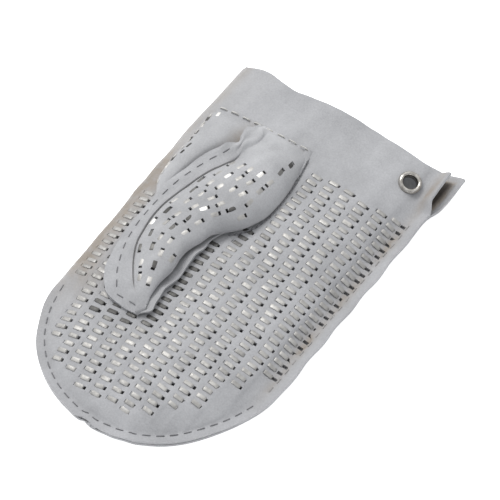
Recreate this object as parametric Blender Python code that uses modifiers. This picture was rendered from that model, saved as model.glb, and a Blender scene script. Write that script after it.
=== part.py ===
"""Steel-stapled leather butcher's mitten, lying on its back with the palm up.

Frame: +Z up, the back of the hand on Z = 0, fingertips towards -Y, cuff towards +Y and the
thumb on the -X side, lying over the palm. Lengths are in millimetres until a mesh is made.
The leather is soft, so its panels are divided along their fold lines, and each fold is a hinge
whose axis lies on the highest line of the fold.
"""

import math

import bmesh
import bpy
from mathutils import Matrix, Vector

MM = 0.001

# The mitten's outline: straight sides and a half-elliptical fingertip end.
HALF_WIDTH = 81.0
TIP_CENTRE_Y = -65.0
TIP_REACH = 78.0
BACK_CUFF_Y = 143.0
PALM_CUFF_Y = 138.0
TIP_LAST_ANGLE = 86.0

# Leather, seams and clearances.
LEATHER = 1.8
GAP = 0.35
SEAM_INSET = 6.5
STITCH_INSET = 3.4
THREAD_RADIUS = 0.5
RIM_Z = 2 * LEATHER + GAP

# The palm's crown above its rim, at stations along the length.
CROWN = ((-143.0, 13.0), (-70.0, 14.5), (0.0, 16.0), (85.0, 16.0), (138.0, 8.5))
THUMB_DIP = 4.0
DIP_CENTRE = (-36.0, -8.0)
DIP_SPREAD = (26.0, 46.0)

# Fold lines: the fingers curl at one, and the cuff's free corner lifts at the other.
FINGER_FOLD_Y = -74.0
FOLD_CLEARANCE = 0.5
CUFF_FOLD_LEFT = (-62.0, 138.0)
CUFF_FOLD_RIGHT = (81.0, 103.0)

# Rows of steel staples along the palm.
ROW_PITCH = 11.7
ROW_MIDDLE_X = 0.5
ROW_COUNT = 13
STAPLE_PITCH = 5.7
STAPLE_CROWN = 6.6
STAPLE_WIDTH = 2.7
STAPLE_RISE = 0.8
STRIP_THICKNESS = 0.5
ROW_GAP = 0.5
ROW_ENDS = (-60, -104, -117, -121, -125, -126, -126, -126, -122, -110, -96, -78, -52)
ROW_STARTS = (22, 8, 4, 4, 4, 12, 22, 84, 86, 87, 88, 89, 90)

# The thumb: left edge, right edge and puff of its upper leather, at stations along the length.
THUMB_STATIONS = (
    (96.0, -42.0, 2.0, 1.5),
    (74.0, -50.0, 8.0, 10.0),
    (52.0, -56.0, 11.0, 14.5),
    (34.0, -61.0, 9.0, 14.5),
    (14.0, -63.0, -6.0, 13.5),
    (-10.0, -63.0, -13.0, 13.0),
    (-36.0, -60.0, -15.0, 12.0),
    (-54.0, -52.0, -16.0, 9.0),
    (-66.0, -40.0, -20.0, 2.0),
)
THUMB_FOLD_Y = 50.0
THUMB_FIN = 7.0
THUMB_CLEAR = 2.6
PATCH_INSET = 6.0
PATCH_LIFT = 1.0
PATCH_END_Y = 25.0
THUMB_HOLE_CENTRE = (-26.0, 52.0)
THUMB_HOLE_RADII = (20.0, 26.0)
THUMB_ROWS = (0.16, 0.33, 0.5, 0.67, 0.84)
THUMB_BASE_ROWS = (0.5, 0.67, 0.84)
THUMB_STAPLE_PITCH = 9.6

# The eyelet in the cuff's free corner.
EYELET_XY = (60.0, 119.0)
EYELET_BORE = 5.0
EYELET_RADIUS = 8.2
EYELET_WALL = 0.5
EYELET_CLEAR = 0.9

LEATHER_LOOK = ((0.62, 0.64, 0.67), 0.85, 0.0)
STEEL_LOOK = ((0.78, 0.78, 0.76), 0.3, 1.0)
NICKEL_LOOK = ((0.74, 0.72, 0.68), 0.18, 1.0)
THREAD_LOOK = ((0.75, 0.75, 0.76), 0.7, 0.0)


def eased(stations, y, column=1):
    """A value between stations of falling or rising y, eased at each end of a stretch."""
    rows = sorted(stations)
    if y <= rows[0][0]:
        return rows[0][column]
    for low, high in zip(rows, rows[1:]):
        if y <= high[0]:
            t = (y - low[0]) / (high[0] - low[0])
            return low[column] + (high[column] - low[column]) * t
    return rows[-1][column]


def step(low, high, value):
    t = min(1.0, max(0.0, (value - low) / (high - low)))
    return t * t * (3 - 2 * t)


def half_width(y):
    if y >= TIP_CENTRE_Y:
        return HALF_WIDTH
    along = min(1.0, (TIP_CENTRE_Y - y) / TIP_REACH)
    return HALF_WIDTH * math.sqrt(1 - along * along)


def palm_top(x, y):
    """Height of the palm leather's outer face: a pillow that is folded down at the left side."""
    seam = HALF_WIDTH - SEAM_INSET
    below = max(0.0, TIP_CENTRE_Y - y) / (TIP_REACH - SEAM_INSET)
    reach = min(1.0, math.hypot(x / seam, below))
    pillow = (1 - reach**2.6) ** 0.8
    height = RIM_Z
    if x < 0:
        folded = (1 - min(1.0, abs(x) / HALF_WIDTH) ** 4) ** 0.5
        share = step(-78.0, -50.0, y)
        pillow += (folded - pillow) * share
        height -= GAP * share
    away = ((x - DIP_CENTRE[0]) / DIP_SPREAD[0]) ** 2 + ((y - DIP_CENTRE[1]) / DIP_SPREAD[1]) ** 2
    dip = THUMB_DIP * math.exp(-away)
    return height + (eased(CROWN, y) - dip) * pillow


def cuff_fold_y(x):
    (left_x, left_y), (right_x, right_y) = CUFF_FOLD_LEFT, CUFF_FOLD_RIGHT
    return left_y + (right_y - left_y) * (x - left_x) / (right_x - left_x)


def thumb_edges(y):
    return eased(THUMB_STATIONS, y, 1), eased(THUMB_STATIONS, y, 2)


def thumb_seat(x, y):
    """Height of the thumb's lower leather, just clear of the palm's staples."""
    return palm_top(x, y) + THUMB_CLEAR


def thumb_top(x, y):
    """Height of the thumb's upper leather: a flat fin on the left, then a puffed lobe."""
    left, right = thumb_edges(y)
    start = left + THUMB_FIN
    t = min(1.0, max(0.0, (x - start) / (right - start)))
    puff = eased(THUMB_STATIONS, y, 3) * math.sin(math.pi * t) ** 0.7
    return thumb_seat(x, y) + RIM_Z + puff


def clear_scene():
    for obj in list(bpy.data.objects):
        bpy.data.objects.remove(obj, do_unlink=True)


def make_collection(name):
    group = bpy.data.collections.new(name)
    bpy.context.scene.collection.children.link(group)
    return group


def make_material(name, look):
    colour, roughness, metallic = look
    material = bpy.data.materials.new(name)
    material.use_nodes = True
    shader = material.node_tree.nodes["Principled BSDF"]
    shader.inputs["Base Color"].default_value = (*colour, 1)
    shader.inputs["Roughness"].default_value = roughness
    shader.inputs["Metallic"].default_value = metallic
    return material


def add_object(name, mesh, look, group):
    obj = bpy.data.objects.new(name, mesh)
    mesh.materials.append(make_material(name, look))
    group.objects.link(obj)
    return obj


def surface_grid(columns, rows, place):
    """An open grid whose corner (u, v) in 0..1 goes to place(u, v), in millimetres."""
    bm = bmesh.new()
    bmesh.ops.create_grid(bm, x_segments=columns, y_segments=rows, size=0.5)
    for vert in bm.verts:
        vert.co = Vector(place(vert.co.x + 0.5, vert.co.y + 0.5)) * MM
    return bm


def bmesh_to_mesh(bm, name):
    bmesh.ops.recalc_face_normals(bm, faces=bm.faces)
    mesh = bpy.data.meshes.new(name)
    bm.to_mesh(mesh)
    bm.free()
    return mesh


def leather_sheet(name, columns, rows, place, group):
    """A leather panel: the outer face is the grid, and the thickness goes inwards."""
    bm = surface_grid(columns, rows, place)
    mesh = bpy.data.meshes.new(name)
    bm.to_mesh(mesh)
    bm.free()
    mesh.shade_smooth()
    obj = add_object(name, mesh, LEATHER_LOOK, group)
    solidify = obj.modifiers.new("thickness", "SOLIDIFY")
    solidify.thickness = LEATHER * MM
    solidify.offset = -1
    return obj


def across(u, low, high):
    """From low to high, with the columns closer together near both edges."""
    return low + (high - low) * (1 - math.cos(math.pi * u)) / 2


def cut_hole(obj, name, place, radii, depth, group):
    bm = bmesh.new()
    bmesh.ops.create_cone(bm, cap_ends=True, segments=24, radius1=MM, radius2=MM, depth=depth * MM)
    bmesh.ops.scale(bm, vec=(radii[0], radii[1], 1), verts=bm.verts)
    cutter = bpy.data.objects.new(name, bmesh_to_mesh(bm, name))
    cutter.matrix_world = place
    cutter.hide_render = True
    cutter.display_type = "WIRE"
    group.objects.link(cutter)
    boolean = obj.modifiers.new(name, "BOOLEAN")
    boolean.operation = "DIFFERENCE"
    boolean.solver = "EXACT"
    boolean.object = cutter


def outline_points(start_y, end_y, inset, steps):
    """Points from the left side at start_y round the fingertips to the right side at end_y."""
    width = HALF_WIDTH - inset
    length = TIP_REACH - inset
    points = [(-width, start_y)] if start_y > TIP_CENTRE_Y else []
    first = math.asin(max(0.0, TIP_CENTRE_Y - start_y) / length)
    last = math.pi - math.asin(max(0.0, TIP_CENTRE_Y - end_y) / length)
    for i in range(steps + 1):
        angle = first + (last - first) * i / steps
        points.append((-width * math.cos(angle), TIP_CENTRE_Y - length * math.sin(angle)))
    if end_y > TIP_CENTRE_Y:
        points.append((width, end_y))
    return points


def flat_leather(name, outline, group):
    """A flat panel that lies on the ground, from its outline."""
    curve = bpy.data.curves.new(name, "CURVE")
    curve.dimensions = "2D"
    curve.fill_mode = "BOTH"
    curve.extrude = LEATHER * MM / 2
    spline = curve.splines.new("POLY")
    spline.points.add(len(outline) - 1)
    for point, (x, y) in zip(spline.points, outline):
        point.co = (x * MM, y * MM, 0, 1)
    spline.use_cyclic_u = True
    obj = add_object(name, curve, LEATHER_LOOK, group)
    obj.location.z = LEATHER * MM / 2
    weld = obj.modifiers.new("weld caps", "WELD")
    weld.merge_threshold = 0.00005
    return obj


def thread(name, points, group):
    """A stitched thread as one thin tube above the leather."""
    curve = bpy.data.curves.new(name, "CURVE")
    curve.dimensions = "3D"
    curve.bevel_depth = THREAD_RADIUS * MM
    curve.bevel_resolution = 1
    curve.use_fill_caps = True
    spline = curve.splines.new("POLY")
    spline.points.add(len(points) - 1)
    for point, place in zip(spline.points, points):
        point.co = (*(Vector(place) * MM), 1)
    obj = add_object(name, curve, THREAD_LOOK, group)
    weld = obj.modifiers.new("weld caps", "WELD")
    weld.merge_threshold = 0.00005
    return obj


def staple_strip(name, spine, top, width, pitch, crown_length, group):
    """A row of staple crowns as one solid: a thin strip over the leather with a bar at each staple.

    spine(i) gives the row's middle (x, y) at pitch number i, and top(x, y) the leather's face.
    """
    bm = bmesh.new()
    half = width / 2
    low = ROW_GAP
    deck = ROW_GAP + STRIP_THICKNESS
    crown = deck + STAPLE_RISE
    slope = (pitch - crown_length) / 3
    count = spine["count"]
    profile = []
    for i in range(count):
        y = spine["start"] - i * pitch
        profile.append((y, deck))
        profile.append((y - slope, crown))
        profile.append((y - slope - crown_length, crown))
    profile.append((spine["start"] - count * pitch, deck))
    rings = []
    for y, height in profile:
        x = spine["x"](y)
        rings.append([
            bm.verts.new(Vector((x + side * half, y, top(x + side * half, y) + z)) * MM)
            for side, z in ((-1, low), (1, low), (1, height), (-1, height))
        ])
    for ring, following in zip(rings, rings[1:]):
        for a in range(4):
            b = (a + 1) % 4
            bm.faces.new((ring[a], ring[b], following[b], following[a]))
    bm.faces.new(rings[0])
    bm.faces.new(rings[-1])
    return add_object(name, bmesh_to_mesh(bm, name), STEEL_LOOK, group)


def turned_ring(name, profile, look, place, group):
    """A ring turned about Z from a closed profile of (radius, height)."""
    bm = bmesh.new()
    verts = [bm.verts.new(Vector((r, 0, z)) * MM) for r, z in profile]
    edges = [bm.edges.new((a, b)) for a, b in zip(verts, verts[1:] + verts[:1])]
    bmesh.ops.spin(
        bm, geom=verts + edges, axis=(0, 0, 1), cent=(0, 0, 0), steps=24,
        angle=2 * math.pi, use_merge=True,
    )
    bmesh.ops.remove_doubles(bm, verts=bm.verts, dist=0.00001)
    mesh = bmesh_to_mesh(bm, name)
    mesh.shade_smooth()
    mesh.set_sharp_from_angle(angle=math.radians(40))
    obj = add_object(name, mesh, look, group)
    obj.matrix_world = place
    return obj


def build_back(group):
    """The plain back of the hand, and its finger section beyond the fold."""
    gap = FOLD_CLEARANCE / 2
    start = FINGER_FOLD_Y
    hand = [
        (-HALF_WIDTH + 1, BACK_CUFF_Y - 4),
        (-half_width(start) + 1, start + gap),
        (half_width(start) - 1, start + gap),
        (HALF_WIDTH - 1, BACK_CUFF_Y - 36),
        (HALF_WIDTH, BACK_CUFF_Y),
    ]
    flat_leather("back_leather", hand[::-1], group)
    tips = outline_points(start - gap, start - gap, 0.0, 22)
    flat_leather("finger_back_leather", tips, group)


def build_palm(group, cutters):
    """The crowned palm leather in three sections: hand, fingers and the cuff's free corner."""
    gap = FOLD_CLEARANCE / 2

    def hand(u, v):
        low = FINGER_FOLD_Y + gap
        x = across(u, -HALF_WIDTH, HALF_WIDTH)
        high = min(PALM_CUFF_Y, cuff_fold_y(x) - 2 * gap)
        y = low + (high - low) * v
        x = across(u, -half_width(y), half_width(y))
        return x, y, palm_top(x, y)

    def fingers(u, v):
        first = math.asin((TIP_CENTRE_Y - FINGER_FOLD_Y + gap) / TIP_REACH)
        angle = first + (math.radians(TIP_LAST_ANGLE) - first) * (1 - v)
        y = TIP_CENTRE_Y - TIP_REACH * math.sin(angle)
        x = across(u, -half_width(y), half_width(y))
        return x, y, palm_top(x, y)

    def corner(u, v):
        x = CUFF_FOLD_LEFT[0] + 7 + (HALF_WIDTH - CUFF_FOLD_LEFT[0] - 7) * u
        low = cuff_fold_y(x) + gap
        y = low + (PALM_CUFF_Y - low) * v
        return x, y, palm_top(x, y)

    palm = leather_sheet("palm_leather", 16, 14, hand, group)
    hole = Matrix.Translation(Vector((*THUMB_HOLE_CENTRE, 15)) * MM)
    cut_hole(palm, "thumb_hole_cutter", hole, THUMB_HOLE_RADII, 40, cutters)
    leather_sheet("finger_palm_leather", 16, 7, fingers, group)
    return leather_sheet("cuff_corner_leather", 14, 4, corner, group)


def build_rows(group):
    """The palm's staple rows; a row that crosses the finger fold is divided there."""
    for row in range(ROW_COUNT):
        x = ROW_MIDDLE_X + ROW_PITCH * (row - ROW_COUNT // 2)
        start, end = ROW_STARTS[row], ROW_ENDS[row]
        parts = [("palm", start, max(end, FINGER_FOLD_Y + 1))]
        if end < FINGER_FOLD_Y - 2 * STAPLE_PITCH:
            parts.append(("finger", FINGER_FOLD_Y - 1, end))
        for section, first, last in parts:
            spine = {"x": lambda y, x=x: x, "start": first}
            spine["count"] = int((first - last) / STAPLE_PITCH)
            name = f"{section}_staples_{row + 1:02d}"
            staple_strip(name, spine, palm_top, STAPLE_CROWN, STAPLE_PITCH, STAPLE_WIDTH, group)


def build_thumb(group):
    """The thumb: upper leather in a fixed base and a moving tip, lower leather and side patch."""
    first, last = THUMB_STATIONS[0][0], THUMB_STATIONS[-1][0]
    gap = FOLD_CLEARANCE / 2

    def upper(u, y):
        left, right = thumb_edges(y)
        fin = 0.12
        if u < fin:
            x = left + THUMB_FIN * u / fin
        else:
            x = across((u - fin) / (1 - fin), left + THUMB_FIN, right)
        return x, y, thumb_top(x, y)

    def base(u, v):
        return upper(u, THUMB_FOLD_Y + gap + (first - THUMB_FOLD_Y - gap) * v)

    def tip(u, v):
        return upper(u, last + (THUMB_FOLD_Y - gap - last) * math.sin(v * math.pi / 2))

    def lower(u, v):
        y = last + 0.5 + (THUMB_FOLD_Y - 4 - last) * v
        left, right = thumb_edges(y)
        x = left + 0.5 + (right - left - 1) * u
        return x, y, thumb_seat(x, y) + LEATHER

    def patch(u, v):
        y = PATCH_END_Y + (first - PATCH_END_Y) * v
        left, _ = thumb_edges(y)
        x = PATCH_INSET - HALF_WIDTH + (left - 1 - PATCH_INSET + HALF_WIDTH) * u
        return x, y, palm_top(x, y) + GAP + LEATHER + PATCH_LIFT * (1 + 2 * u)

    leather_sheet("thumb_base_leather", 14, 4, base, group)
    leather_sheet("thumb_front_leather", 14, 12, tip, group)
    leather_sheet("thumb_back_leather", 6, 12, lower, group)
    leather_sheet("thumb_side_patch", 4, 8, patch, group)
    build_thumb_rows(group)


def build_thumb_rows(group):
    """Staples of the thumb, which lie lengthwise, in rows across its puffed leather."""
    def track(share):
        def x(y):
            left, right = thumb_edges(y)
            return left + THUMB_FIN + (right - left - THUMB_FIN) * share
        return x

    sections = (
        ("thumb_staples", THUMB_ROWS, THUMB_FOLD_Y - 4, 10),
        ("thumb_base_staples", THUMB_BASE_ROWS, 86.0, 3),
    )
    for label, shares, start, count in sections:
        for number, share in enumerate(shares, 1):
            spine = {"x": track(share), "start": start, "count": count}
            staple_strip(
                f"{label}_{number}", spine, thumb_top, STAPLE_WIDTH, THUMB_STAPLE_PITCH, 5.6, group
            )


def build_threads(group):
    """The stitching: round the fingertips, up the right side, along the thumb and its patch."""
    lift = RIM_Z + GAP + THREAD_RADIUS
    gap = FOLD_CLEARANCE
    tips = outline_points(FINGER_FOLD_Y - gap, FINGER_FOLD_Y - gap, STITCH_INSET, 28)
    thread("fingertip_thread", [(x, y, lift) for x, y in tips], group)
    side = half_width(FINGER_FOLD_Y) - STITCH_INSET
    top = cuff_fold_y(HALF_WIDTH) - 4
    run = [(side, FINGER_FOLD_Y + gap, lift), (side + 0.5, TIP_CENTRE_Y + 10, lift)]
    thread("side_seam_thread", run + [(side + 0.5, top, lift)], group)
    first, last = THUMB_STATIONS[0][0], THUMB_STATIONS[-1][0]
    seam = []
    for i in range(19):
        y = THUMB_FOLD_Y - 2 + (last + 4 - THUMB_FOLD_Y + 2) * i / 18
        x = thumb_edges(y)[0] + STITCH_INSET
        seam.append((x, y, thumb_top(x, y) + GAP + THREAD_RADIUS))
    thread("thumb_seam_thread", seam, group)
    edge = []
    for i in range(13):
        x = -74.0 + 76.0 * i / 12
        y = first + 2.2
        edge.append((x, y, palm_top(x, y) + GAP + THREAD_RADIUS))
    thread("thumb_patch_thread", edge, group)


def build_eyelet(corner, group, cutters):
    """The two-part nickel eyelet, square to the leather of the cuff's free corner."""
    x, y = EYELET_XY
    rise_x = palm_top(x + 4, y) - palm_top(x - 4, y)
    rise_y = palm_top(x, y + 4) - palm_top(x, y - 4)
    normal = Vector((-rise_x, -rise_y, 8)).normalized()
    middle = Vector((x, y, palm_top(x, y)))
    turn = Vector((0, 0, 1)).rotation_difference(normal).to_matrix().to_4x4()
    place = Matrix.Translation(middle * MM) @ turn
    bore, wall, outer = EYELET_BORE, EYELET_WALL, EYELET_RADIUS
    above, below = EYELET_CLEAR, -LEATHER - EYELET_CLEAR
    hole = bore + wall + 0.6
    cut_hole(corner, "eyelet_hole_cutter", place, (hole, hole), 20, cutters)
    flange = [
        (bore, below - 1.2),
        (bore + wall, below - 1.2),
        (bore + wall, above),
        (outer, above),
        (outer - 0.2, above + 0.8),
        (outer - 1.2, above + 1.3),
        (bore + 0.8, above + 1.1),
        (bore, above + 0.4),
    ]
    turned_ring("eyelet", flange, NICKEL_LOOK, place, group)
    inner = bore + wall + 0.35
    washer = [(inner, below - 0.9), (outer, below - 0.6), (outer, below), (inner, below)]
    turned_ring("eyelet_washer", washer, NICKEL_LOOK, place, group)


def main():
    clear_scene()
    mitten = make_collection("stapled_mitten")
    cutters = make_collection("cutters")
    build_back(mitten)
    corner = build_palm(mitten, cutters)
    build_rows(mitten)
    build_thumb(mitten)
    build_threads(mitten)
    build_eyelet(corner, mitten, cutters)


main()
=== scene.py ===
"""The looks of a steel-stapled leather butcher's mitten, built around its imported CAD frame.

Shapes are worked out in millimetres in the frame's own axes: +Y runs from the fingertips to the
cuff, +Z out of the palm, and the thumb lies on the -X side.
"""

import math
import random

import bpy
import numpy as np
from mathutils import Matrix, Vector


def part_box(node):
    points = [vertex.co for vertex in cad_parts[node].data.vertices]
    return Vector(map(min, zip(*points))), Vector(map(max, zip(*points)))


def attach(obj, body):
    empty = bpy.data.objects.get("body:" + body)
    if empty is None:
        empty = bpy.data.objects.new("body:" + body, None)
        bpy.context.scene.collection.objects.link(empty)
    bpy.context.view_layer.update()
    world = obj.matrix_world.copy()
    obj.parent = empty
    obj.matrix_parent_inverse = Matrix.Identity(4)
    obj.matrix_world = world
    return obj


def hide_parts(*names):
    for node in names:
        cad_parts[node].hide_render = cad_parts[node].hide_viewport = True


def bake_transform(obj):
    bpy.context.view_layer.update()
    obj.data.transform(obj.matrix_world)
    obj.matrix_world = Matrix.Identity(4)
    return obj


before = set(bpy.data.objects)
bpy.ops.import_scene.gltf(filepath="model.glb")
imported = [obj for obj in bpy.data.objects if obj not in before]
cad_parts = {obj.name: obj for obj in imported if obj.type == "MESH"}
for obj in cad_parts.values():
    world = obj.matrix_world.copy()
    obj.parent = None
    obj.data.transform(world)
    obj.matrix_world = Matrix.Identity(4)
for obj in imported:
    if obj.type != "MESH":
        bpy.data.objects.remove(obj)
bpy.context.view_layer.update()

MM = 0.001


def node_box(node):
    """The lowest and highest corner of a CAD node, in millimetres."""
    low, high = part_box(node)
    return low / MM, high / MM


# ---------------- sizes, in millimetres
# The CAD's sizes that the leather follows.
PALM_LOW, PALM_HIGH = node_box("palm_leather")
HALF_WIDTH = (PALM_HIGH.x - PALM_LOW.x) / 2
TIP_Y = node_box("finger_back_leather")[0].y
BACK_CUFF_Y = node_box("back_leather")[1].y
PALM_CUFF_Y = PALM_HIGH.y

# Outline: straight sides and a half-elliptical fingertip end.
TIP_REACH = 78.0
TIP_CENTRE_Y = TIP_Y + TIP_REACH
TIP_END_DEGREES = 88.5
SEAM_INSET = 6.5
STITCH_INSET = 5.2
RIM_Z = 3.5

# Thickness of the palm, cuff and back, of the thumb's front, and of its other panels.
LEATHER = 1.6
THUMB_LEATHER = 1.4
THIN_LEATHER = 1.3

# The palm's crown, and the powers that shape its swell at the seam and at the left edge's fold.
CROWN_Y = (-143.0, -70.0, 0.0, 85.0, 138.0)
CROWN_Z = (13.0, 14.5, 16.0, 16.0, 9.5)
SWELL_FLATNESS = 2.6
SWELL_SHOULDER = 0.8
FOLD_FLATNESS = 4
FOLD_SHOULDER = 0.5
FOLD_STARTS_Y = (-78, -50)

# The dip that the thumb rests in: its depth, middle and spread.
THUMB_DIP = 4.0
DIP_MIDDLE = (-36, -8)
DIP_SPREAD = (26, 46)

# The rim standing up along the right side, and the tuck in the seam at the fingertips.
RIM_RISE = 3.4
RIM_RISES_Y = (-74, -30)
RIM_FLARE = 2.2
TUCK_DEPTH = 1.8
TUCK_X = -7
TUCK_SPREAD = 2.8
TUCK_REACH = 12

# Where the cuff starts, where the staple rows end, and the closer lines of the cut beyond them.
SPLIT_Y = 95.0
ROWS_LOW_Y = -127
TIP_LINES_Y = -128
TIP_LINES = 15

# Staple rows on the palm. ROW_ENDS and ROW_STARTS are the y of each row's last and first staple.
ROW_COUNT = 13
ROW_PITCH = 11.7
ROW_MIDDLE_X = 0.5
ROW_ENDS = (-60, -104, -117, -121, -125, -126, -126, -126, -122, -110, -96, -78, -52)
ROW_STARTS = (22, 8, 4, 4, 4, 12, 24, 88, 88, 88, 88, 88, 93)
ROW_OUT_OF_STEP = 1.9
ROW_STEP_TURN = 2.4
STAPLE_PITCH = 5.7
STAPLE_HALF = 3.3
STAPLE_HALF_WIDTH = 1.42
STAPLE_DIVE = 1.2

# Across a palm staple, off its middle: the slit, the leather under the crown, the hole, and the end
# of the gap beyond. Down its pitch: the top, middle and foot of the slit and the hole.
SLIT_SIDES = (-3.72, -3.38)
CROWN_SIDES = (-1.1, 1.1)
HOLE_SIDES = (2.7, 4.7)
GAP_SIDE = 5.9
HOLE_CLOSES_BY = 1.5
SLIT_TOP = 1.65
SLIT_MIDDLE = 2.8
SLIT_FOOT = 3.95

# A staple's crown: stations along it as (share of half its length, height), the share where its
# ends dive into the leather, and its section as (share of half its width, height).
CROWN_LINE = (
    (-1.0, 0.05), (-0.88, 0.3), (-0.45, 0.38), (0.0, 0.4), (0.45, 0.38), (0.88, 0.3), (1.0, 0.05),
)
CROWN_END = 1.06
CROWN_SECTION = (
    (-1.0, -0.30), (-0.96, 0.0), (-0.6, 0.16), (0.0, 0.2), (0.6, 0.16), (0.96, 0.0), (1.0, -0.30),
)

# The thumb's staples, as half their length, half their width and their dive, and the gusset's, whose
# lengths differ.
THUMB_STAPLE = (2.6, 1.5, 0.9)
THUMB_STAPLE_PITCH = 7.6
THUMB_COURSE_PITCH = 10.2
GUSSET_STAPLE_PITCH = 6.4
GUSSET_STAPLE_HALF_WIDTH = 1.1
GUSSET_STAPLE_DIVE = 0.9

# The slit beside a thumb staple: its ends along the staple, half its width, and its foot and top.
SLIT_CUT_ENDS = (-0.9, 0.75)
SLIT_CUT_HALF = 1.35
SLIT_CUT_HEIGHTS = (-3.0, 2.0)

# The eyelet's section as (radius, height): its barrel, flange, bore and washer.
EYELET_X = 60.0
EYELET_Y = 119.0
EYELET_BORE = 5.0
EYELET_STEPS = 72
EYELET_PROFILE = (
    (4.5, -2.6), (4.5, 0.2), (4.7, 1.25), (5.3, 2.05), (6.1, 2.35), (6.9, 2.05), (7.5, 1.2), (7.8, 0.1),
    (7.6, -0.1), (7.1, 0.15), (4.9, 0.2), (4.9, -1.9), (7.7, -1.9), (7.85, -2.3), (7.5, -2.6),
    (6.4, -2.9), (4.8, -2.9),
)

# The hole in the palm that the thumb's cavity opens through: its middle and its radii.
THUMB_HOLE = (-26.0, 52.0)
THUMB_HOLE_RADII = (20.0, 26.0)

# Lines down the thumb. As (y, x): its flange's outer edge, the crease inside the flange, and its
# right edge. As (y, height): the flange, the crown above a line across, and the right edge.
FIN_EDGE = (
    (100, -38), (88, -39.5), (75, -41), (57, -51.5), (36, -58.5), (16, -61.5), (-5, -62),
    (-25, -61), (-38, -58.5), (-53, -54), (-60, -49), (-65, -41), (-67, -31),
)
CREASE = (
    (100, -31), (75, -31), (61, -34), (48, -41.5), (30, -48), (7, -53), (-12, -52.5),
    (-22, -50.5), (-34, -45.4), (-44, -39), (-52, -32.8), (-56, -29), (-67, -24),
)
THUMB_RIGHT = (
    (100, -2), (84, 2), (65, 5.5), (51, 6.3), (35, 4.5), (24, -0.5), (12, -11), (5, -14),
    (-2, -16), (-10, -19), (-30, -18.5), (-42, -20), (-53, -19), (-60, -17.5), (-67, -20),
)
FIN_Z = (
    (100, 18), (88, 24), (75, 27), (57, 26), (36, 24.5), (16, 23), (-25, 22), (-53, 20.5), (-67, 19),
)
THUMB_BULGE = (
    (100, 0.5), (90, 5), (76, 10), (60, 13), (45, 13), (20, 11), (0, 8), (-25, 7), (-45, 4),
    (-56, 1), (-67, 0),
)
RIGHT_Z = (
    (100, 16.5), (84, 19), (60, 21), (40, 22), (20, 23), (5, 24), (-20, 24.5), (-50, 22), (-67, 19.5),
)
THUMB_TOP = 100.0
THUMB_ROUNDS_Y = -56
THUMB_TIP = -67.0

# Shares across the thumb's front where its flange ends, its dome starts and its right edge rolls in.
FIN_SHARE = 0.2
CREASE_SHARE = 0.25
ROLL_SHARE = 0.9
CREASE_WIDTH = 1.4
CREASE_DEPTH = 2.0

# The gusset's left edge as (y, x), the share of its width that turns up under the flange, and the
# share of the thumb's front that it meets there.
PATCH_LEFT = ((100, -74), (84, -73.5), (60, -73), (40, -72.5), (28, -70), (18, -64))
PATCH_TURN = 0.2
PATCH_FOOT_Y = 16
PATCH_MEETS_SHARE = 0.11

# How deep a stitch's ends go into the leather, and how far its middle stands on it.
STITCH_DIP = 0.9
STITCH_LIFT = 0.25

RIPPLE_WAVES = 4
RIPPLE_SCALE = 2.2

# Painted shade on the leather: a warm brown, and the near black painted as the shade inside the vent. Then
# what a metal piece's tone from 0 to 1 does to its colour: the low stops paint shade and dark reflections,
# the top stop a bright reflection.
PAINTED_SHADE_COLOUR = (0.255, 0.225, 0.195)
DEEP_SHADE_COLOUR = (0.035, 0.026, 0.02)
TONE_STOPS = ((0.0, 0.10), (0.3, 0.6), (0.7, 0.9), (1.0, 1.5))


# ---------------- the leather's lie
def smooth(low, high, value):
    """0 up to low and 1 from high, with an easy rise between."""
    t = np.clip((value - low) / (high - low), 0, 1)
    return t * t * (3 - 2 * t)


def bump(value, middle, spread):
    """1 at the middle, falling away to 0 on both sides."""
    return np.exp(-(((value - middle) / spread) ** 2))


def ripple(x, y, size, seed):
    """Soft, repeatable waves of about one unit, with no visible period."""
    turns = random.Random(seed)
    total = 0
    for _ in range(RIPPLE_WAVES):
        angle = turns.uniform(0, math.tau)
        wave = size * turns.uniform(0.6, 1.5)
        phase = turns.uniform(0, math.tau)
        along = x * math.cos(angle) + y * math.sin(angle)
        total = total + np.sin(along * math.tau / wave + phase)
    return total / RIPPLE_SCALE


def half_width(y):
    along = np.clip((TIP_CENTRE_Y - y) / TIP_REACH, 0, 1)
    return HALF_WIDTH * np.sqrt(1 - along**2)


def palm_top(x, y):
    """Height of the palm's outer face, without waves."""
    x = np.asarray(x, float)
    y = np.asarray(y, float)
    seam = HALF_WIDTH - SEAM_INSET
    below = np.clip(TIP_CENTRE_Y - y, 0, None) / (TIP_REACH - SEAM_INSET)
    reach = np.clip(np.hypot(x / seam, below), 0, 1)
    swell = (1 - reach**SWELL_FLATNESS) ** SWELL_SHOULDER
    folded = (1 - np.clip(np.abs(x) / HALF_WIDTH, 0, 1) ** FOLD_FLATNESS) ** FOLD_SHOULDER
    share = np.where(x < 0, smooth(*FOLD_STARTS_Y, y), 0)
    swell = swell + (folded - swell) * share
    dip = THUMB_DIP * bump(x, DIP_MIDDLE[0], DIP_SPREAD[0]) * bump(y, DIP_MIDDLE[1], DIP_SPREAD[1])
    return RIM_Z + (np.interp(y, CROWN_Y, CROWN_Z) - dip) * swell


def palm_face(x, y):
    """The palm's outer face with its waves, and its rim standing up along the right side."""
    z = palm_top(x, y)
    inside = np.clip((half_width(y) - np.abs(x)) / 30, 0, 1)
    z = z + 0.7 * ripple(x, y, 46, 3) * inside + 0.3 * ripple(x, y, 17, 8) * inside
    edge = half_width(y) - x
    right = smooth(*RIM_RISES_Y, y)
    z = z + right * RIM_RISE * smooth(SEAM_INSET, 0, edge)
    z = z + 0.9 * ripple(x * 0.2, y, 26, 5) * smooth(SEAM_INSET, 0, edge)
    return z


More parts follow.
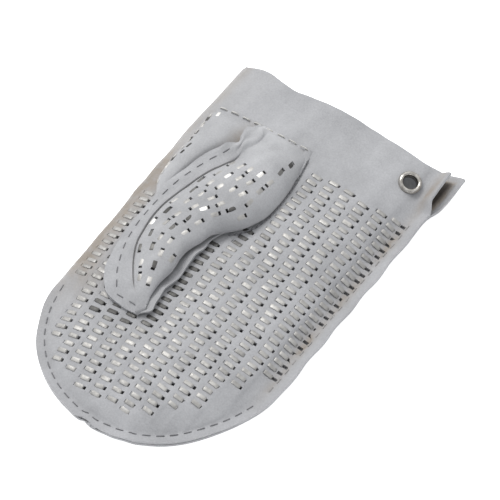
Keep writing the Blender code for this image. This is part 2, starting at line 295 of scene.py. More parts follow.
def flared(x, y):
    """Spreads the outline sideways, along the standing rim and in soft bulges on the left."""
    edge = half_width(y) - np.abs(x)
    near = smooth(9, 0, edge)
    standing = smooth(-100, -50, y)
    right = standing * (RIM_FLARE + 0.6 * ripple(0 * x, y, 34, 61)) * near
    right = right - 2.6 * standing * bump(x, row_x(ROW_COUNT - 1), 6)
    right = right - 5.0 * bump(y, -106, 30) * smooth(40, 3, edge) * smooth(0, 35, x)
    left = (1.8 * bump(y, 70, 45) + 1.2 * bump(y, 22, 9) + 0.35 * ripple(0 * x, y, 30, 62)) * near
    return x + np.where(x > 0, right, -left)


def notched(x, y):
    """Draws the outline in at the fingertips' small tuck, and waves it beside that."""
    edge = TIP_Y + (HALF_WIDTH - half_width(y)) * 0.02
    tuck = TUCK_DEPTH * bump(x, TUCK_X, TUCK_SPREAD) * smooth(TUCK_REACH, 0, y - edge)
    wave = 0.5 * ripple(x, 0 * y, 21, 63) * smooth(14, 0, y - TIP_Y)
    return y + tuck + wave * smooth(0, 12, np.abs(x))


def row_x(row):
    return ROW_MIDDLE_X + ROW_PITCH * (row - ROW_COUNT // 2)


def row_shift(x):
    """How far along Y a row's staples are shifted: steady across each row."""
    place = (np.asarray(x, float) - row_x(0)) / ROW_PITCH
    row = np.floor(place)
    share = smooth(0.4, 0.6, place - row)
    here = np.sin(row * ROW_STEP_TURN)
    beyond = np.sin((row + 1) * ROW_STEP_TURN)
    return ROW_OUT_OF_STEP * (here * (1 - share) + beyond * share)


def on_palm(x, y, stagger=1.0):
    """A point of the palm's flat cut, (x, y), where it lies on the mitten."""
    x = np.asarray(x, float)
    y = np.asarray(y, float) + 0 * x
    inside = half_width(y) - np.abs(x)
    px = x + 0.35 * ripple(x, y, 40, 11) * smooth(0, 16, inside)
    py = y + stagger * row_shift(x) * smooth(0, 12, inside) * smooth(-130, -120, y)
    spread = flared(px, py)
    return np.stack([spread, notched(spread, py), palm_face(px, py)], -1)


# ---------------- mesh makers
def add_object(name, data):
    obj = bpy.data.objects.new(name, data)
    bpy.context.scene.collection.objects.link(obj)
    return obj


def make_piece(name, verts, faces, material):
    """A smooth mesh object from places in millimetres."""
    mesh = bpy.data.meshes.new(name)
    mesh.from_pydata([tuple(v) for v in np.asarray(verts) * MM], [], faces)
    mesh.update()
    mesh.shade_smooth()
    mesh.materials.append(material)
    return add_object(name, mesh)


def grid_faces(rows, columns, keep=None):
    """The faces of a grid of points, where keep allows them."""
    faces = []
    for r in range(rows - 1):
        for c in range(columns - 1):
            if keep is None or keep[r, c]:
                here = r * columns + c
                faces.append((here, here + columns, here + columns + 1, here + 1))
    return faces


def band_faces(rings, sides, offset=0, closed=False):
    """Faces that join rings of vertices, each to the next, and if closed the last to the first."""
    faces = []
    for i in range(rings if closed else rings - 1):
        here = offset + i * sides
        ahead = offset + (i + 1) % rings * sides
        for k in range(sides):
            m = (k + 1) % sides
            faces.append((here + k, ahead + k, ahead + m, here + m))
    return faces


def bake_modifiers(obj):
    """Puts the modifiers' result in the mesh."""
    bpy.context.view_layer.update()
    solid = obj.evaluated_get(bpy.context.evaluated_depsgraph_get())
    mesh = bpy.data.meshes.new_from_object(solid)
    obj.modifiers.clear()
    old = obj.data
    obj.data = mesh
    mesh.name = obj.name
    bpy.data.meshes.remove(old)
    mesh.shade_smooth()
    mesh.set_sharp_from_angle(angle=math.radians(50))


def set_attribute(obj, name, values):
    """Gives each vertex a number that the materials read."""
    layer = obj.data.attributes.new(name, "FLOAT", "POINT")
    layer.data.foreach_set("value", np.asarray(values, np.float32).ravel())


def cut_away(obj, cutter):
    """Cuts the cutter's shape out of obj."""
    cut = obj.modifiers.new("cut", "BOOLEAN")
    cut.object = cutter
    cut.solver = "EXACT"
    bake_modifiers(obj)
    bpy.data.objects.remove(cutter)


def leather_sheet(name, points, material, keep=None, thickness=LEATHER, painted_shade=None, inner_painted_shade=None):
    """A leather sheet whose outer face is a grid of points, with its thickness inwards."""
    rows, columns = points.shape[:2]
    obj = make_piece(name, points.reshape(-1, 3), grid_faces(rows, columns, keep), material)
    # The attribute set here, and on the inner face below, is painted shade.
    if painted_shade is not None:
        set_attribute(obj, "painted_shade", painted_shade)
    solidify = obj.modifiers.new("thickness", "SOLIDIFY")
    solidify.thickness = thickness * MM
    solidify.offset = -1
    solidify.use_even_offset = False
    bake_modifiers(obj)
    if inner_painted_shade is not None:
        set_attribute(obj, "painted_shade", np.stack([np.zeros((rows, columns)), inner_painted_shade]))
    return obj


# ---------------- materials
def new_material(name):
    """A material with nodes, its node tree and its main shader."""
    material = bpy.data.materials.new(name)
    material.use_nodes = True
    tree = material.node_tree
    return material, tree, tree.nodes["Principled BSDF"]


def set_up(made, **values):
    """Sets a node's inputs or settings by name."""
    for key, value in values.items():
        if key in made.inputs:
            made.inputs[key].default_value = value
        else:
            setattr(made, key, value)
    return made


def node(tree, kind, **values):
    return set_up(tree.nodes.new(kind), **values)


def grey(value):
    return (value, value, value)


def ramp(tree, source, stops):
    """A colour ramp over source, through stops of (place, colour)."""
    made = tree.nodes.new("ShaderNodeValToRGB")
    elements = made.color_ramp.elements
    while len(elements) < len(stops):
        elements.new(0.5)
    for element, (place, colour) in zip(elements, stops):
        element.position = place
        element.color = (*colour, 1)
    tree.links.new(source, made.inputs["Fac"])
    return made.outputs["Color"]


def mixed(tree, factor, a, b, mode="MIX"):
    """A mix of colours, each value a node's output or a plain number or colour."""
    made = tree.nodes.new("ShaderNodeMix")
    made.data_type = "RGBA"
    made.blend_type = mode
    for name, value in (("Factor", factor), ("A", a), ("B", b)):
        socket = made.inputs[name]
        if isinstance(value, bpy.types.NodeSocket):
            tree.links.new(value, socket)
        else:
            socket.default_value = value if isinstance(value, float) else (*value, 1)
    return made.outputs["Result"]


def texture(tree, kind, **values):
    """A texture node that reads the object's own coordinates."""
    made = node(tree, kind, **values)
    place = node(tree, "ShaderNodeTexCoord")
    tree.links.new(place.outputs["Object"], made.inputs["Vector"])
    return made


def bumped(tree, source, strength, distance, under=None):
    """The surface's normal, bumped by source, over another bump if there is one."""
    made = node(tree, "ShaderNodeBump", Strength=strength, Distance=distance)
    tree.links.new(source, made.inputs["Height"])
    if under is not None:
        tree.links.new(under, made.inputs["Normal"])
    return made.outputs["Normal"]


def leather_material(name, base):
    """Split leather: a matt nap with cloudy dye and fine fibres.

    Its per-vertex shade attribute paints a warm brown shade by 1, and near-black shade, as inside the
    vent, by 2.
    """
    material, tree, shader = new_material(name)
    clouds = texture(tree, "ShaderNodeTexNoise", Scale=28.0, Detail=4.0, Roughness=0.6)
    nap = texture(tree, "ShaderNodeTexNoise", Scale=900.0, Detail=3.0, Roughness=0.7)
    pores = texture(tree, "ShaderNodeTexVoronoi", Scale=620.0)
    dark = tuple(c * 0.86 for c in base)
    light = tuple(c * 1.1 for c in base)
    dye = ramp(tree, clouds.outputs["Fac"], ((0.3, dark), (0.7, light)))
    fibre = ramp(tree, nap.outputs["Fac"], ((0.3, grey(0.86)), (0.7, grey(1.06))))
    colour = mixed(tree, 1.0, dye, fibre, "MULTIPLY")
    # The attribute read here is painted shade: warm brown up to 1, made patchy by noise, and near black
    # beyond 1 as deep shade.
    painted_shade = node(tree, "ShaderNodeAttribute", attribute_name="painted_shade").outputs["Fac"]
    shade_noise = texture(tree, "ShaderNodeTexNoise", Scale=140.0, Detail=4.0, Roughness=0.65)
    uneven = node(tree, "ShaderNodeMapRange")
    set_up(uneven, **{"From Min": 0.3, "From Max": 0.7, "To Min": 0.45, "To Max": 1.15})
    tree.links.new(shade_noise.outputs["Fac"], uneven.inputs["Value"])
    patchy = node(tree, "ShaderNodeMath", operation="MULTIPLY", use_clamp=True)
    tree.links.new(painted_shade, patchy.inputs[0])
    tree.links.new(uneven.outputs["Result"], patchy.inputs[1])
    colour = mixed(tree, patchy.outputs[0], colour, PAINTED_SHADE_COLOUR)
    deep = node(tree, "ShaderNodeMath", operation="SUBTRACT")
    deep.inputs[1].default_value = 1.0
    tree.links.new(painted_shade, deep.inputs[0])
    colour = mixed(tree, deep.outputs[0], colour, DEEP_SHADE_COLOUR)
    tree.links.new(colour, shader.inputs["Base Color"])
    rough = ramp(tree, nap.outputs["Fac"], ((0.2, grey(0.75)), (0.8, grey(0.95))))
    tree.links.new(rough, shader.inputs["Roughness"])
    set_up(shader, **{"Specular IOR Level": 0.25, "Sheen Weight": 0.25, "Sheen Roughness": 0.5})
    fibres = bumped(tree, nap.outputs["Fac"], 0.35, 0.0003)
    grain = bumped(tree, pores.outputs["Distance"], 0.15, 0.0004, under=fibres)
    tree.links.new(grain, shader.inputs["Normal"])
    return material


def metal_material(name, bright, dull, rough_low, rough_high):
    """Bright metal: brushed, with dull patches, and a tone for each staple, which holds painted shade and
    reflections as well as its own variation.
    """
    material, tree, shader = new_material(name)
    wear = texture(tree, "ShaderNodeTexNoise", Scale=260.0, Detail=3.0, Roughness=0.6)
    lines = texture(tree, "ShaderNodeTexNoise", Scale=1500.0, Detail=2.0)
    tone = node(tree, "ShaderNodeAttribute", attribute_name="tone").outputs["Fac"]
    patches = ramp(tree, wear.outputs["Fac"], ((0.35, dull), (0.62, bright)))
    own = ramp(tree, tone, [(place, grey(value)) for place, value in TONE_STOPS])
    tree.links.new(mixed(tree, 1.0, patches, own, "MULTIPLY"), shader.inputs["Base Color"])
    rough = ramp(tree, wear.outputs["Fac"], ((0.3, grey(rough_high)), (0.7, grey(rough_low))))
    tree.links.new(rough, shader.inputs["Roughness"])
    set_up(shader, Metallic=1.0)
    tree.links.new(bumped(tree, lines.outputs["Fac"], 0.12, 0.0002), shader.inputs["Normal"])
    return material


def thread_material(name, colour):
    material, tree, shader = new_material(name)
    twist = texture(tree, "ShaderNodeTexWave", Scale=700.0, Distortion=2.0, Detail=2.0)
    shade = ramp(tree, twist.outputs["Fac"], ((0.2, tuple(c * 0.6 for c in colour)), (0.8, colour)))
    tree.links.new(shade, shader.inputs["Base Color"])
    set_up(shader, Roughness=0.8)
    tree.links.new(bumped(tree, twist.outputs["Fac"], 0.5, 0.0002), shader.inputs["Normal"])
    return material


LEATHER_MAT = leather_material("split_leather", (0.343, 0.345, 0.356))
THUMB_MAT = leather_material("thumb_leather", (0.342, 0.344, 0.354))
STEEL_MAT = metal_material("staple_steel", (0.56, 0.55, 0.53), (0.48, 0.47, 0.455), 0.58, 0.74)
NICKEL_MAT = metal_material("eyelet_nickel", (0.50, 0.48, 0.45), (0.27, 0.255, 0.235), 0.07, 0.18)
# The dark thread's grey is painted shade, for the grooves that its stitches sink in.
THREAD_MAT = thread_material("seam_thread", (0.20, 0.20, 0.21))
PALE_THREAD_MAT = thread_material("pale_thread", (0.62, 0.61, 0.58))
SIDE_THREAD_MAT = thread_material("side_thread", (0.34, 0.33, 0.32))


# ---------------- palm
def palm_columns():
    """The cut's x lines, with one column for each row's slit and one for its hole."""
    lines = [-HALF_WIDTH, -HALF_WIDTH + 2.2, -HALF_WIDTH + 4.4]
    kinds = [None, None]
    for row in range(ROW_COUNT):
        x = row_x(row)
        lines += [x + side for side in (*SLIT_SIDES, *CROWN_SIDES, *HOLE_SIDES, GAP_SIDE)]
        kinds += [None, ("slit", row), None, None, None, ("hole", row), None]
    rest = np.linspace(lines[-1], HALF_WIDTH, 4)[1:]
    lines += list(rest)
    kinds += [None] * len(rest)
    return np.array(lines), kinds


def palm_rows():
    """The cut's y lines: four for each staple, then closer ones round the fingertips."""
    lines = []
    kinds = []
    y = SPLIT_Y
    first = math.asin((TIP_CENTRE_Y - TIP_LINES_Y) / TIP_REACH)
    while y > ROWS_LOW_Y:
        lines += [y, y - SLIT_TOP, y - SLIT_MIDDLE, y - SLIT_FOOT]
        kinds += [None, y - SLIT_MIDDLE, y - SLIT_MIDDLE, None]
        y -= STAPLE_PITCH
    for i in range(TIP_LINES):
        angle = first + (math.radians(TIP_END_DEGREES) - first) * i / (TIP_LINES - 1)
        lines.append(TIP_CENTRE_Y - TIP_REACH * math.sin(angle))
        kinds.append(None)
    return np.array(lines), kinds


def squeeze(x, y):
    """Keeps the rows straight, and gathers the columns beyond them within the outline."""
    width = half_width(y)
    kept = np.clip(width - 11, 0, None)
    beyond = (np.abs(x) - kept) * (width - kept) / np.maximum(HALF_WIDTH - kept, 1e-6)
    return np.sign(x) * np.where(np.abs(x) <= kept, np.abs(x), kept + beyond)


def has_staple(row, y):
    return ROW_ENDS[row] <= y <= ROW_STARTS[row]


def staple_places(row, row_kinds):
    """The cut's y of each staple of a row."""
    return sorted({y for y in row_kinds if y is not None and has_staple(row, y)})


def painted_shade_on_palm(points):
    """Painted shade: along the left edge, in a patch by the thumb's tip, in the valley by the rim, and a
    little across the left.
    """
    x, y = points[..., 0], points[..., 1]
    side = 0.8 * smooth(-62, -72, x) * smooth(-60, -40, y) * smooth(70, 35, y)
    side = side + 0.4 * smooth(-70, -78, x) * smooth(-90, -50, y)
    side = side + 0.55 * bump(np.hypot((x + 64) / 13, (y + 54) / 15), 0, 1)
    patchy = 0.75 + 0.25 * ripple(0 * x, y, 34, 64)
    valley = 1.1 * patchy * bump(half_width(y) - x, SEAM_INSET + 0.5, 2.6) * smooth(-90, -20, y)
    valley = valley * (x > 0)
    return np.clip(side + valley + 0.08 * smooth(-40, -75, x), 0, 1.15)


def cell_corners(grid):
    """The values at the four corners of each cell of a grid."""
    return np.stack([grid[:-1, :-1], grid[1:, :-1], grid[:-1, 1:], grid[1:, 1:]])


def round_hole(points, keep):
    """Opens the thumb's hole, and brings its cut edge onto an ellipse."""
    across = (points[..., 0] - THUMB_HOLE[0]) / THUMB_HOLE_RADII[0]
    along = (points[..., 1] - THUMB_HOLE[1]) / THUMB_HOLE_RADII[1]
    reach = np.hypot(across, along)
    middle = cell_corners(reach).mean(0)
    keep &= middle > 1
    around = cell_corners(np.pad(middle, 1, mode="edge"))
    rim = (around.min(0) <= 1) & (around.max(0) > 1)
    for k in range(2):
        moved = THUMB_HOLE[k] + (points[..., k] - THUMB_HOLE[k]) / np.maximum(reach, 0.1)
        points[..., k] = np.where(rim, moved, points[..., k])


def hole_shut(x, y):
    """1 where the leather has closed on the wire, 0 where the holes have pulled open."""
    middle = 0.9 * bump(x, 2, 22) * smooth(-70, -5, y)
    return smooth(0.1, 0.8, 0.8 * ripple(x, y, 18, 91) + middle) * smooth(93, 89, y)


def build_palm():
    """The palm's leather, cut open at both ends of every staple."""
    columns, column_kinds = palm_columns()
    rows, row_kinds = palm_rows()
    x, y = np.meshgrid(columns, rows)
    for c, kind in enumerate(column_kinds):
        if kind and kind[0] == "hole":
            x[:, c + 1] -= HOLE_CLOSES_BY * hole_shut(x[:, c + 1], y[:, c + 1])
    x = squeeze(x, y)
    points = on_palm(x, y)
    near = np.min([np.abs(x - row_x(r)) for r in range(ROW_COUNT)], axis=0)
    stapled = smooth(-132, -118, y) * smooth(93, 87, y) * smooth(6, 12, half_width(y) - np.abs(x))
    points[..., 2] -= stapled * 0.5 * smooth(5.2, 3.4, near)
    keep = np.ones((len(rows) - 1, len(columns) - 1), bool)
    for c, kind in enumerate(column_kinds):
        if kind:
            for r, place in enumerate(row_kinds[:-1]):
                if place is not None and has_staple(kind[1], place):
                    keep[r, c] = False
    round_hole(points, keep)
    # The palm carries painted shade: its left edge, by the thumb's tip and in the rim's valley.
    obj = leather_sheet("palm_leather_skin", points, LEATHER_MAT, keep, painted_shade=painted_shade_on_palm(points))
    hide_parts("palm_leather", "finger_palm_leather")
    return obj, row_kinds


def staple_points(place, across, along, normal, half, half_wide, dive):
    """One staple's crown: a slightly domed flat wire whose ends turn down into the leather."""
    verts = []
    for s, h in ((-CROWN_END, -dive), *CROWN_LINE, (CROWN_END, -dive)):
        for w, t in CROWN_SECTION:
            verts.append(place + across * s * half + along * w * half_wide + normal * (h + t))
    return verts


def staple_group(name, staples):
    """Many staples in one piece: staples is a list of (vertices, tone)."""
    verts = []
    faces = []
    tones = []
    for points, tone in staples:
        faces += band_faces(len(CROWN_LINE) + 2, len(CROWN_SECTION), offset=len(verts))
        verts += [tuple(p) for p in points]
        tones += [tone] * len(points)
    obj = make_piece(name, verts, faces, STEEL_MAT)
    set_attribute(obj, "tone", tones)
    obj.data.set_sharp_from_angle(angle=math.radians(55))
    return obj


def surface_axes(surface, a, b, step_a, step_b):
    """The place, and the axes along a, along b and out of a surface at (a, b)."""
    first = Vector(surface(a + step_a, b) - surface(a - step_a, b)).normalized()
    second = Vector(surface(a, b + step_b) - surface(a, b - step_b)).normalized()
    normal = first.cross(second).normalized()
    return Vector(surface(a, b)), first, normal.cross(first), normal


def panel_axes(skin, u, y, step_u, step_y):
    """The place, and the axes down, across and out of a thumb panel."""
    return surface_axes(lambda down, share: skin(share, -down), -y, u, step_y, step_u)


def turned(across, along, normal, angle):
    """The axes, turned by angle about the normal."""
    c, s = math.cos(angle), math.sin(angle)
    return across * c + along * s, along * c - across * s, normal


def skewed(axes, luck, turn, tilt):
    """The axes, turned and tilted at random, by up to turn and tilt."""
    across, along, normal = turned(*axes, luck.uniform(-turn, turn))
    along = (along + normal * luck.uniform(-tilt, tilt)).normalized()
    return across, along, across.cross(along)


def thumb_shade_share(x, y):
    """1 for the staples beside and below the thumb, painted dark as its shade and its dark reflection,
    falling to 0 away from it.
    """
    below = float(curve(THUMB_RIGHT, max(y, THUMB_TIP)))
    beside = x - below if y > THUMB_TIP else math.hypot(max(0.0, x - below, -45 - x), THUMB_TIP - y)
    if y > THUMB_TIP and x < below - 3:
        beside = 0.0 if x > float(curve(FIN_EDGE, y)) else 30.0
    return float(smooth(13, 8, beside)) if y < 30 else 0.0


def gusset_staples():
    """Short staples down the gusset's outer margin."""
    luck = random.Random(5)
    staples = []
    for y in np.arange(93.0, 36.0, -GUSSET_STAPLE_PITCH):
        share = luck.choice((0.05, 0.16))
        here, *axes = panel_axes(patch_skin, share, y, 0.04, 2)
        axes = turned(*axes, luck.uniform(-0.2, 0.2))
        sizes = (luck.uniform(1.8, 2.4), GUSSET_STAPLE_HALF_WIDTH, GUSSET_STAPLE_DIVE)
        points = staple_points(here - axes[2] * 0.3, *axes, *sizes)
        # The darkest tones paint shade and dark reflections on random staples, and the bright ones bright
        # reflections.
        staples.append((points, luck.choice((0.02, 0.06, 0.1, 0.7, 0.9))))
    return staples


def build_rows(row_kinds):
    """One piece of staples for each row, standing for its CAD strips."""
    luck = random.Random(7)
    pieces = []
    for row in range(ROW_COUNT):
        staples = gusset_staples() if row == 0 else []
        for y in staple_places(row, row_kinds):
            x = row_x(row) - luck.uniform(-0.5, 0.7)
            place, *axes = surface_axes(on_palm, x, y, 2.5, 2)
            across, along, normal = skewed(axes, luck, 0.05, 0.06)
            lift = 0.15 if row == ROW_COUNT - 1 else -0.42
            place = place + normal * (luck.uniform(-0.12, 0.12) + lift)
            half = STAPLE_HALF * luck.uniform(0.94, 1.0)
            points = staple_points(place, across, along, normal, half, STAPLE_HALF_WIDTH, STAPLE_DIVE)
            # Staples beside and below the thumb are painted dark, as its shade and its dark reflection;
            # those by the left edge are painted darker, as the shade there.
            shade = 1 - 0.85 * thumb_shade_share(place.x, place.y)
            shade *= 1 - 0.35 * float(smooth(-62, -74, place.x))
            staples.append((points, luck.uniform(0.4, 0.68) * shade))
        obj = staple_group(f"palm_staple_row_{row + 1:02d}", staples)
        strips = [f"palm_staples_{row + 1:02d}", f"finger_staples_{row + 1:02d}"]
        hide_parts(*[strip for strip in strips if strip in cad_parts])
        pieces.append(obj)
    return pieces


# ---------------- cuff and back
def cuff_edge_y(x):
    """The y of the cuff's wavy edge."""
    wave = 2.4 * bump(x, -66, 14) - 2.0 * bump(x, -42, 14) + 1.0 * bump(x, 2, 34)
    return PALM_CUFF_Y + 0.6 + wave - 2.4 * smooth(20, 62, x) + 1.5 * smooth(70, 80, x)


def build_cuff():
    """The plain cuff, from the top of the rows to its wavy edge, with the eyelet's hole."""
    columns = palm_columns()[0]
    shares = np.linspace(1, 0, 30)
    x, v = np.meshgrid(columns, shares)
    y = SPLIT_Y + (cuff_edge_y(x) - SPLIT_Y) * v
    points = on_palm(x, y, 1 - smooth(0, 0.15, v))
    vent = smooth(106, 116, y)
    points[..., 0] -= vent * 4.2 * smooth(62, 81, x)
    rim = smooth(SEAM_INSET + 4, 0, half_width(y) - x)
    off_the_back = smooth(104, 140, y) * smooth(20, 80, x)
    points[..., 2] += 6.0 * off_the_back + 3.0 * vent * rim
    points[..., 2] += 1.3 * ripple(x, y, 60, 21) * smooth(100, 130, y)
    # The cuff carries the same painted shade as the palm.
    obj = leather_sheet("cuff_leather_skin", points, LEATHER_MAT, painted_shade=painted_shade_on_palm(points))
    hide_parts("cuff_corner_leather")
    near = np.argmin(np.hypot(points[..., 0] - EYELET_X, points[..., 1] - EYELET_Y))
    row, column = np.unravel_index(near, points.shape[:2])
    across = Vector(points[row, column + 3] - points[row, column - 3])
    along = Vector(points[row - 3, column] - points[row + 3, column])
    normal = across.cross(along).normalized()
    place = Vector((EYELET_X, EYELET_Y, points[row, column, 2]))
    bpy.ops.mesh.primitive_cylinder_add(
        vertices=48, radius=EYELET_BORE * MM, depth=12 * MM, location=place * MM,
    )
    cutter = bpy.context.object
    cutter.rotation_euler = normal.to_track_quat("Z", "Y").to_euler()
    cut_away(obj, cutter)
    return obj, place, normal


def build_eyelet(place, normal):
    """The eyelet's rolled barrel and its washer, turned about the hole's axis."""
    turn = normal.to_track_quat("Z", "Y").to_matrix()
    verts = []
    for i in range(EYELET_STEPS):
        angle = math.tau * i / EYELET_STEPS
        for radius, height in EYELET_PROFILE:
            off = Vector((radius * math.cos(angle), radius * math.sin(angle), height))
            verts.append(place + turn @ off)
    faces = band_faces(EYELET_STEPS, len(EYELET_PROFILE), closed=True)
    obj = make_piece("eyelet_skin", verts, faces, NICKEL_MAT)
    obj.data.set_sharp_from_angle(angle=math.radians(60))
    set_attribute(obj, "tone", np.full(len(verts), 0.8))
    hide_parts("eyelet", "eyelet_washer")
    return obj


def build_back():
    """The plain back, flat on the ground, its rim following the palm's rim."""
    rim_lines = np.linspace(0.86, 1, 8)[1:]
    across = np.concatenate([np.linspace(-1, -0.86, 8)[:-1], np.linspace(-0.86, 0.86, 40), rim_lines])
    top = np.linspace(BACK_CUFF_Y, TIP_CENTRE_Y, 60)
    angles = np.radians(np.linspace(0, TIP_END_DEGREES, 40))[1:]
    lines = np.concatenate([top, TIP_CENTRE_Y - TIP_REACH * np.sin(angles)])
    u, y = np.meshgrid(across, lines)
    x = u * (half_width(y) - 0.3)
    edge = half_width(y) - np.abs(np.clip(x, -HALF_WIDTH, HALF_WIDTH))
    rim = palm_face(np.clip(x, -HALF_WIDTH, half_width(y)), y) - RIM_Z
    right = (x > 0) * smooth(SEAM_INSET, 0, edge) * np.clip(rim, 0, None) * smooth(118, 104, y)
    curl = 6.0 * smooth(106, 136, y) * smooth(70, 81, x)
    corner = smooth(100, 130, y) * smooth(0.55, 1, u)
    keep_in = np.where(x > 0, 0.8 * smooth(TIP_Y - 10, -60, y) - 1.0 * smooth(-60, -100, y), 0.2)
    spread = flared(x, y) - keep_in * smooth(0.8, 1, np.abs(u)) * np.sign(x) * (y < 100)
    spread = spread + 4.0 * corner
    outer = np.stack([spread, notched(spread, y), right + curl + 0 * x], -1)
    points = outer[:, ::-1]
    # Inside the vent the back's inner face is painted near black, as the shade there.
    in_vent = smooth(100, 105, y) * smooth(141, 135, y) * smooth(64, 70, x) * smooth(78.6, 76.6, x)
    obj = leather_sheet("back_leather_skin", points, LEATHER_MAT, inner_painted_shade=1.95 * in_vent[:, ::-1])
    for vertex in obj.data.vertices:
        vertex.co.z = abs(vertex.co.z)
    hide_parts("back_leather", "finger_back_leather")
    return obj


# ---------------- thumb
def curve(points, value):
    """A smooth line through a few (place, value) points."""
    places, values = np.array(sorted(points), float).T
    slopes = np.gradient(values, places)
    value = np.clip(value, places[0], places[-1])
    i = np.clip(np.searchsorted(places, value) - 1, 0, len(places) - 2)
    step = places[i + 1] - places[i]
    t = (value - places[i]) / step
    a = (1 + 2 * t) * (1 - t) ** 2
    b = t * (1 - t) ** 2 * step
    c = t * t * (3 - 2 * t)
    d = t * t * (t - 1) * step
    return a * values[i] + b * slopes[i] + c * values[i + 1] + d * slopes[i + 1]


def thumb_skin(u, y):
    """The thumb's outer face: u runs from the flange's outer edge (0) to the rolled right edge (1)."""
    u = np.asarray(u, float)
    y = np.asarray(y, float) + 0 * u
    edge = curve(FIN_EDGE, y)
    crease = curve(CREASE, y)
    right = curve(THUMB_RIGHT, y)
    fin_z = curve(FIN_Z, y)
    right_z = curve(RIGHT_Z, y)
    rise = 2.2 * smooth(100, 84, y) * smooth(-69, -50, y)
    fin = np.clip(u / FIN_SHARE, 0, 1)
    dome = np.clip((u - CREASE_SHARE) / (ROLL_SHARE - CREASE_SHARE), 0, 1)
    roll = np.clip((u - ROLL_SHARE) / (1 - ROLL_SHARE), 0, 1)
    x = edge + (crease - edge) * fin
    x = x + CREASE_WIDTH * np.clip((u - FIN_SHARE) / (CREASE_SHARE - FIN_SHARE), 0, 1)
    x = x + (right - crease - CREASE_WIDTH) * dome
    z = fin_z + rise * fin**0.8
    z = z + (right_z - fin_z - rise) * dome
    z = z + curve(THUMB_BULGE, y) * 2.62 * dome**0.95 * (1 - dome) ** 0.55
    depth = CREASE_DEPTH * smooth(70, 56, y) * smooth(-56, -46, y)
    z = z - depth * bump(u, (FIN_SHARE + CREASE_SHARE) / 2, 0.016)
    floor = palm_face(x, y) + 0.4 + 3.2 * smooth(14, 6, y)
    x = x - (1.0 + 3.0 * smooth(-60, -44, y)) * roll**1.5
    z = z + (floor - z) * np.where(roll > 0, 1 - (1 - roll) ** 1.5, 0)
    crumple = smooth(58, 72, y) * smooth(100, 94, y) * smooth(0.36, 0.12, u)
    z = z + crumple * (1.6 * ripple(x * 1.2, y * 0.6, 12, 31) + 2.5)
    x = x + crumple * 1.6 * ripple(x, y, 16, 32)
    calm = (1 - roll) * smooth(100, 92, y)
    z = z + calm * (0.5 * ripple(x, y, 24, 33) + 0.22 * ripple(x, y, 9, 34))
    wave = 1.0 * ripple(0 * x, y, 30, 35) * smooth(FIN_SHARE, 0, u)
    z = z + wave * smooth(100, 88, y)
    return np.stack([x, y, z], -1)


def thumb_lines(top, count):
    """The y lines of a thumb panel, closer together round its tip."""
    straight = np.linspace(top, THUMB_ROUNDS_Y, count)
    angles = np.radians(np.linspace(0, 90, 16))[1:]
    return np.concatenate([straight, THUMB_ROUNDS_Y + (THUMB_TIP - THUMB_ROUNDS_Y) * np.sin(angles)])


def build_thumb_front():
    """The stapled front of the thumb, from its top seam to its tip."""
    shares = np.concatenate([
        np.linspace(0, FIN_SHARE, 12)[:-1],
        np.linspace(FIN_SHARE, CREASE_SHARE, 9)[:-1],
        np.linspace(CREASE_SHARE, ROLL_SHARE, 60)[:-1],
        np.linspace(ROLL_SHARE, 1, 10),
    ])
    u, y = np.meshgrid(shares, thumb_lines(THUMB_TOP, 150))
    points = thumb_skin(u, y)
    # Painted shade along the flange's crease.
    shade_paint = 0.35 * bump(u, (FIN_SHARE + CREASE_SHARE) / 2, 0.02) * smooth(66, 56, y) * smooth(-58, -46, y)
    obj = leather_sheet("thumb_front_skin", points, THUMB_MAT, thickness=THUMB_LEATHER, painted_shade=shade_paint)
    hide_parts("thumb_front_leather", "thumb_base_leather")
    return obj


def build_thumb_back():
    """The plain back of the thumb, whose edge shows beyond the rolled front."""
    u, y = np.meshgrid(np.linspace(0, 1, 40), thumb_lines(44, 80))
    left = curve(FIN_EDGE, y) + 0.4
    shown = 4.5 * smooth(8, -6, y) * smooth(-69, -60, y) - 3.0 * smooth(5, 20, y)
    right = curve(THUMB_RIGHT, y) + shown + 0.5 * ripple(0 * y, y, 14, 41)
    x = left + (right - left) * u
    under = thumb_skin(np.minimum(u * 0.5, FIN_SHARE), y)[..., 2] - 1.6
    low = palm_face(x, y) + 2.2 + 0.4 * ripple(x, y, 30, 42)
    z = under + (low - under) * smooth(0.08, 0.45, u)
    z = z + 1.6 * smooth(0.8, 1, u) * smooth(12, 0, y)
    z = np.minimum(z, under + 3)
    obj = leather_sheet("thumb_back_skin", np.stack([x, y, z], -1), THUMB_MAT, thickness=THIN_LEATHER)
    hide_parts("thumb_back_leather")
    return obj


def patch_skin(u, y):
    """The plain gusset beside the thumb: u runs from its seam (0) to beneath the flange (1).

    Beyond 1 the gusset turns up to the flange's underside, and meets it at 1 + PATCH_TURN.
    """
    y = np.asarray(y, float) + 0 * u
    turned_up = np.clip((u - 1) / PATCH_TURN, 0, 1)
    u = np.clip(u, 0, 1)
    left = curve(PATCH_LEFT, y)
    right = curve(FIN_EDGE, y) + 3 * smooth(90, 70, y)
    x = left + (right - left) * u
    low = palm_face(left, y) + 1.2
    high = curve(FIN_Z, y) - 4.2
    hollow = 4.5 * bump(y, 80, 14) * bump(u, 0.95, 0.28)
    z = low + (high - low) * (1 - (1 - np.clip(u / 0.6, 0, 1)) ** 1.7)
    z = z - 6.5 * smooth(0.6, 1.0, u) * smooth(84, 66, y)
    z = z - hollow + 0.35 * ripple(x, y, 30, 51)
    flat = palm_face(x, y) + 1.4
    z = flat + (z - flat) * smooth(100, 90, y)
    met = thumb_skin(PATCH_MEETS_SHARE + 0 * u, y)
    met[..., 2] -= 1.9
    low_edge = np.stack([x, y, z], -1)
    return low_edge + (met - low_edge) * turned_up[..., None]


